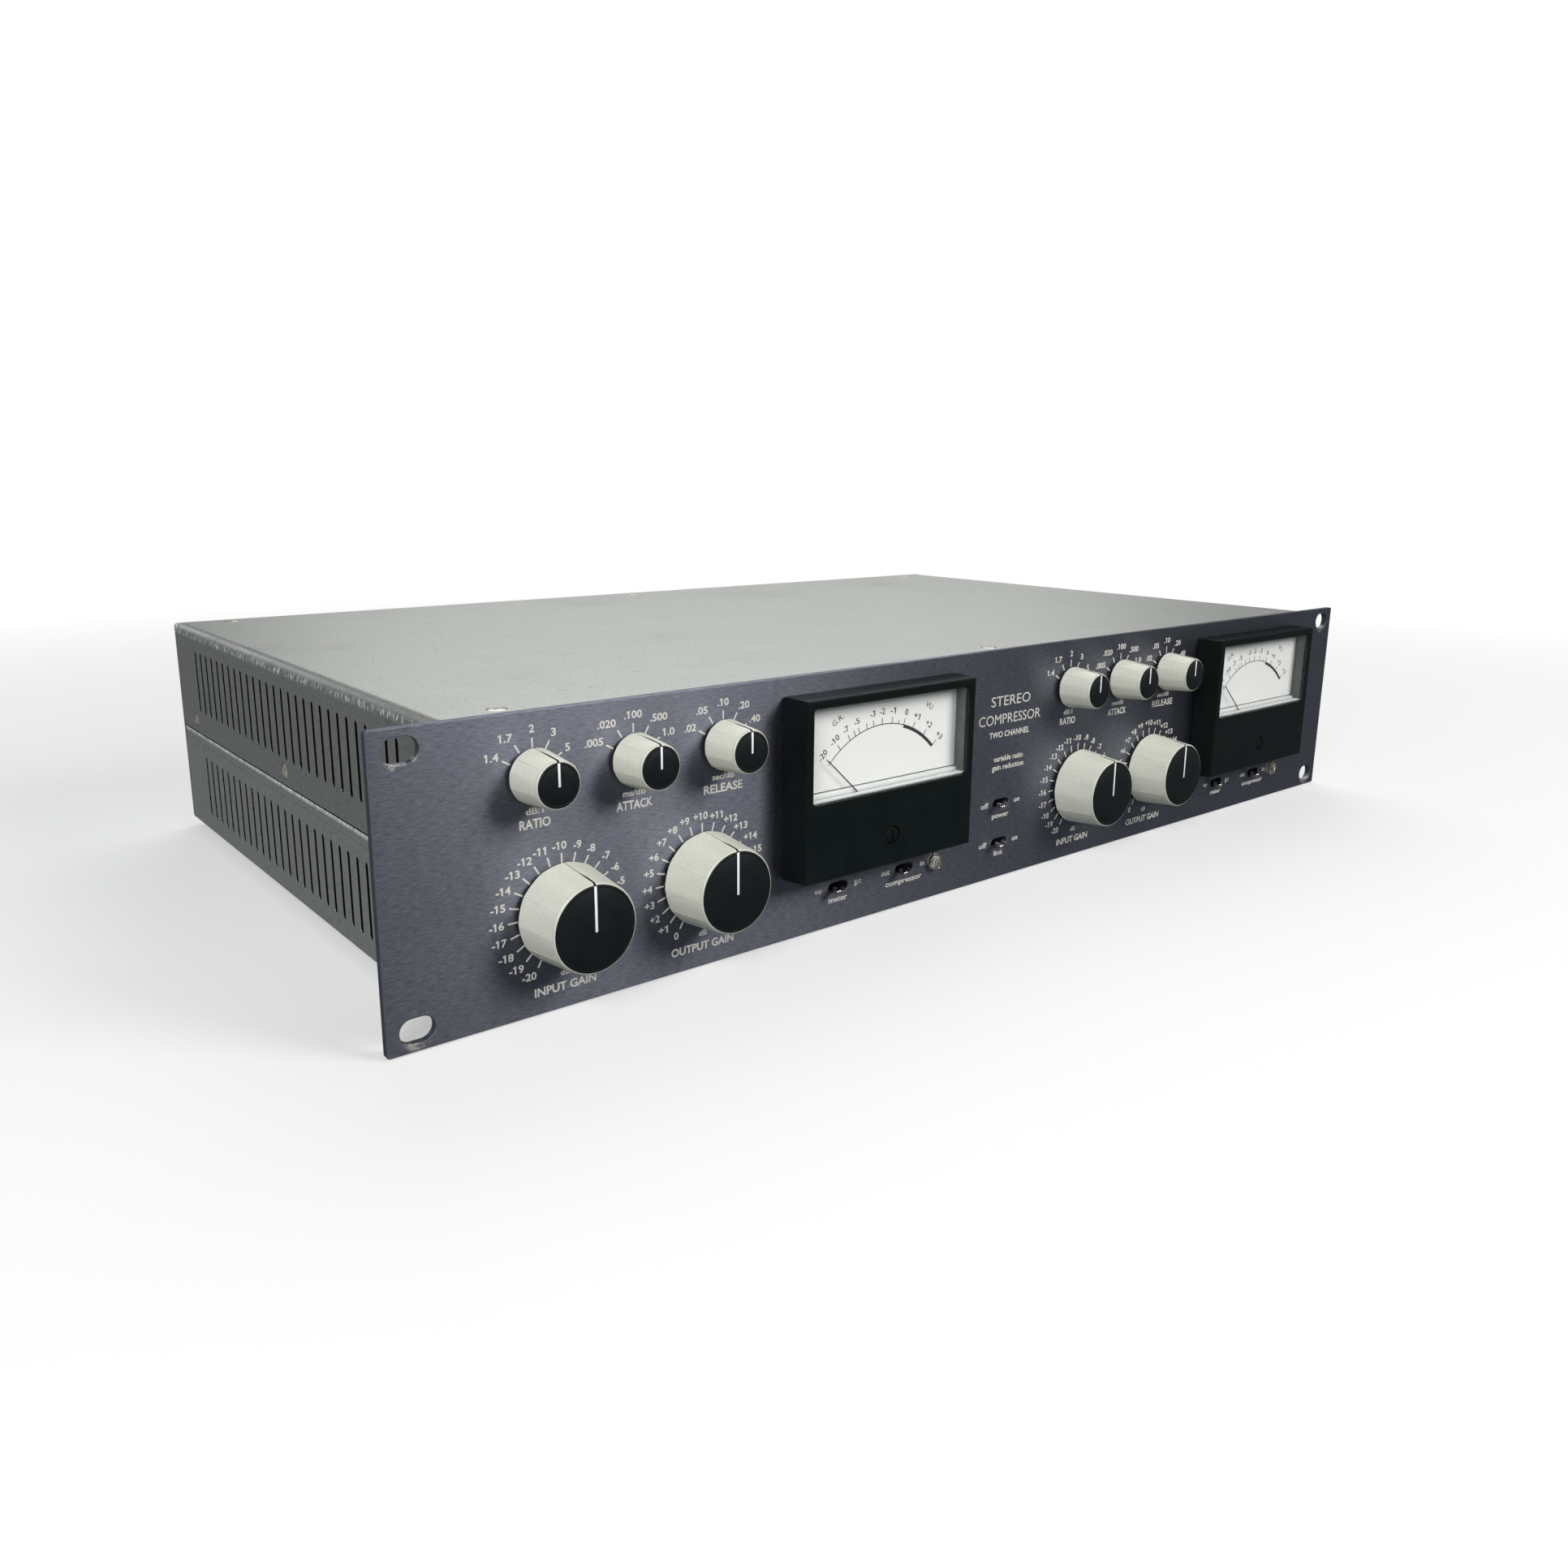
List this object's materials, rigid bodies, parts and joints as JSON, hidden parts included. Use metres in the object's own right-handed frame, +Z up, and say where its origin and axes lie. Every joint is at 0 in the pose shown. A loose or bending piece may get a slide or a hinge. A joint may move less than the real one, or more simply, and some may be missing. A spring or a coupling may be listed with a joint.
{
  "type": "rack compressor",
  "caption": "Rack-mount audio compressor with a slotted-ear front panel, turning knobs, toggle switches, needle meters and a vented two-part steel case.",
  "frame": {"origin": "middle of the base of the whole object's box, level with the lower edge of the front panel", "axes": "+X to the right seen from the front, the front panel faces -Y, +Z up"},
  "size_m": [0.4826, 0.2836, 0.0881],
  "materials": {
    "anodised_panel": "horizontally brushed and dark anodised",
    "zinc_steel": "zinc-plated sheet, satin",
    "knob_shell": "satin light grey",
    "black_plastic": "matte black moulding",
    "steel": "plated steel",
    "clear_window": "clear moulded window",
    "lens": "clear moulded lens, unlit",
    "dial_white": "white painted dial",
    "needle_black": "black painted needle",
    "circuit_board": "green solder resist",
    "transformer_wrap": "dark potted ring core",
    "socket_metal": "nickel-plated shell"
  },
  "bodies": {
    "chassis": {"front_panel": "anodised_panel", "top_cover": "zinc_steel", "bottom_tray": "zinc_steel", "rear_panel": "zinc_steel", "lens_left": "lens", "lens_right": "lens", "meter_case_left": "black_plastic", "meter_window_left": "clear_window", "meter_dial_left": "dial_white", "meter_case_right": "black_plastic", "meter_window_right": "clear_window", "meter_dial_right": "dial_white", "control_board": "circuit_board", "main_board": "circuit_board", "power_transformer": "transformer_wrap", "mains_inlet": "black_plastic", "xlr_in_left": "socket_metal", "xlr_in_right": "socket_metal", "xlr_out_left": "socket_metal", "xlr_out_right": "socket_metal"},
    "ratio_left_knob": {"knob_ratio_left": "knob_shell", "cap_ratio_left": "black_plastic", "shaft_ratio_left": "steel"},
    "attack_left_knob": {"knob_attack_left": "knob_shell", "cap_attack_left": "black_plastic", "shaft_attack_left": "steel"},
    "release_left_knob": {"knob_release_left": "knob_shell", "cap_release_left": "black_plastic", "shaft_release_left": "steel"},
    "input_left_knob": {"knob_input_left": "knob_shell", "cap_input_left": "black_plastic", "shaft_input_left": "steel"},
    "output_left_knob": {"knob_output_left": "knob_shell", "cap_output_left": "black_plastic", "shaft_output_left": "steel"},
    "ratio_right_knob": {"knob_ratio_right": "knob_shell", "cap_ratio_right": "black_plastic", "shaft_ratio_right": "steel"},
    "attack_right_knob": {"knob_attack_right": "knob_shell", "cap_attack_right": "black_plastic", "shaft_attack_right": "steel"},
    "release_right_knob": {"knob_release_right": "knob_shell", "cap_release_right": "black_plastic", "shaft_release_right": "steel"},
    "input_right_knob": {"knob_input_right": "knob_shell", "cap_input_right": "black_plastic", "shaft_input_right": "steel"},
    "output_right_knob": {"knob_output_right": "knob_shell", "cap_output_right": "black_plastic", "shaft_output_right": "steel"},
    "power_lever": {"toggle_power": "steel"},
    "link_lever": {"toggle_link": "steel"},
    "meter_left_lever": {"toggle_meter_left": "steel"},
    "bypass_left_lever": {"toggle_bypass_left": "steel"},
    "meter_right_lever": {"toggle_meter_right": "steel"},
    "bypass_right_lever": {"toggle_bypass_right": "steel"},
    "needle_left": {"meter_needle_left": "needle_black"},
    "needle_right": {"meter_needle_right": "needle_black"},
    "zero_left": {"meter_zero_left": "black_plastic"},
    "zero_right": {"meter_zero_right": "black_plastic"}
  },
  "joints": [
    {"name": "ratio_left_turn", "type": "hinge", "parent": "chassis", "child": "ratio_left_knob", "pos_m": [-0.1957, -0.1236, 0.0701], "axis": [0, 1, 0], "range_deg": [-60, 90]},
    {"name": "attack_left_turn", "type": "hinge", "parent": "chassis", "child": "attack_left_knob", "pos_m": [-0.1634, -0.1236, 0.0701], "axis": [0, 1, 0], "range_deg": [-60, 90]},
    {"name": "release_left_turn", "type": "hinge", "parent": "chassis", "child": "release_left_knob", "pos_m": [-0.1312, -0.1236, 0.0701], "axis": [0, 1, 0], "range_deg": [-60, 90]},
    {"name": "input_left_turn", "type": "hinge", "parent": "chassis", "child": "input_left_knob", "pos_m": [-0.1879, -0.1236, 0.0292], "axis": [0, 1, 0], "range_deg": [-150, 150]},
    {"name": "output_left_turn", "type": "hinge", "parent": "chassis", "child": "output_left_knob", "pos_m": [-0.1393, -0.1236, 0.0292], "axis": [0, 1, 0], "range_deg": [-150, 150]},
    {"name": "ratio_right_turn", "type": "hinge", "parent": "chassis", "child": "ratio_right_knob", "pos_m": [0.0377, -0.1236, 0.0701], "axis": [0, 1, 0], "range_deg": [-60, 90]},
    {"name": "attack_right_turn", "type": "hinge", "parent": "chassis", "child": "attack_right_knob", "pos_m": [0.07, -0.1236, 0.0701], "axis": [0, 1, 0], "range_deg": [-60, 90]},
    {"name": "release_right_turn", "type": "hinge", "parent": "chassis", "child": "release_right_knob", "pos_m": [0.1022, -0.1236, 0.0701], "axis": [0, 1, 0], "range_deg": [-60, 90]},
    {"name": "input_right_turn", "type": "hinge", "parent": "chassis", "child": "input_right_knob", "pos_m": [0.0455, -0.1236, 0.0292], "axis": [0, 1, 0], "range_deg": [-150, 150]},
    {"name": "output_right_turn", "type": "hinge", "parent": "chassis", "child": "output_right_knob", "pos_m": [0.0941, -0.1236, 0.0292], "axis": [0, 1, 0], "range_deg": [-150, 150]},
    {"name": "power_flip", "type": "hinge", "parent": "chassis", "child": "power_lever", "pos_m": [0, -0.1136, 0.0292], "axis": [0, 0, 1], "range_deg": [0, 28]},
    {"name": "link_flip", "type": "hinge", "parent": "chassis", "child": "link_lever", "pos_m": [0, -0.1136, 0.0137], "axis": [0, 0, 1], "range_deg": [0, 28]},
    {"name": "meter_left_flip", "type": "hinge", "parent": "chassis", "child": "meter_left_lever", "pos_m": [-0.0826, -0.1136, 0.0137], "axis": [0, 0, 1], "range_deg": [0, 28]},
    {"name": "bypass_left_flip", "type": "hinge", "parent": "chassis", "child": "bypass_left_lever", "pos_m": [-0.051, -0.1136, 0.0137], "axis": [0, 0, 1], "range_deg": [0, 28]},
    {"name": "meter_right_flip", "type": "hinge", "parent": "chassis", "child": "meter_right_lever", "pos_m": [0.1508, -0.1136, 0.0137], "axis": [0, 0, 1], "range_deg": [0, 28]},
    {"name": "bypass_right_flip", "type": "hinge", "parent": "chassis", "child": "bypass_right_lever", "pos_m": [0.1824, -0.1136, 0.0137], "axis": [0, 0, 1], "range_deg": [0, 28]},
    {"name": "needle_left_swing", "type": "hinge", "parent": "chassis", "child": "needle_left", "pos_m": [-0.0681, -0.1306, 0.0362], "axis": [0, 1, 0], "range_deg": [0, 95]},
    {"name": "needle_right_swing", "type": "hinge", "parent": "chassis", "child": "needle_right", "pos_m": [0.1653, -0.1306, 0.0362], "axis": [0, 1, 0], "range_deg": [0, 95]},
    {"name": "zero_left_turn", "type": "hinge", "parent": "chassis", "child": "zero_left", "pos_m": [-0.0681, -0.1336, 0.032], "axis": [0, 1, 0], "range_deg": [-45, 45]},
    {"name": "zero_right_turn", "type": "hinge", "parent": "chassis", "child": "zero_right", "pos_m": [0.1653, -0.1336, 0.032], "axis": [0, 1, 0], "range_deg": [-45, 45]}
  ]
}
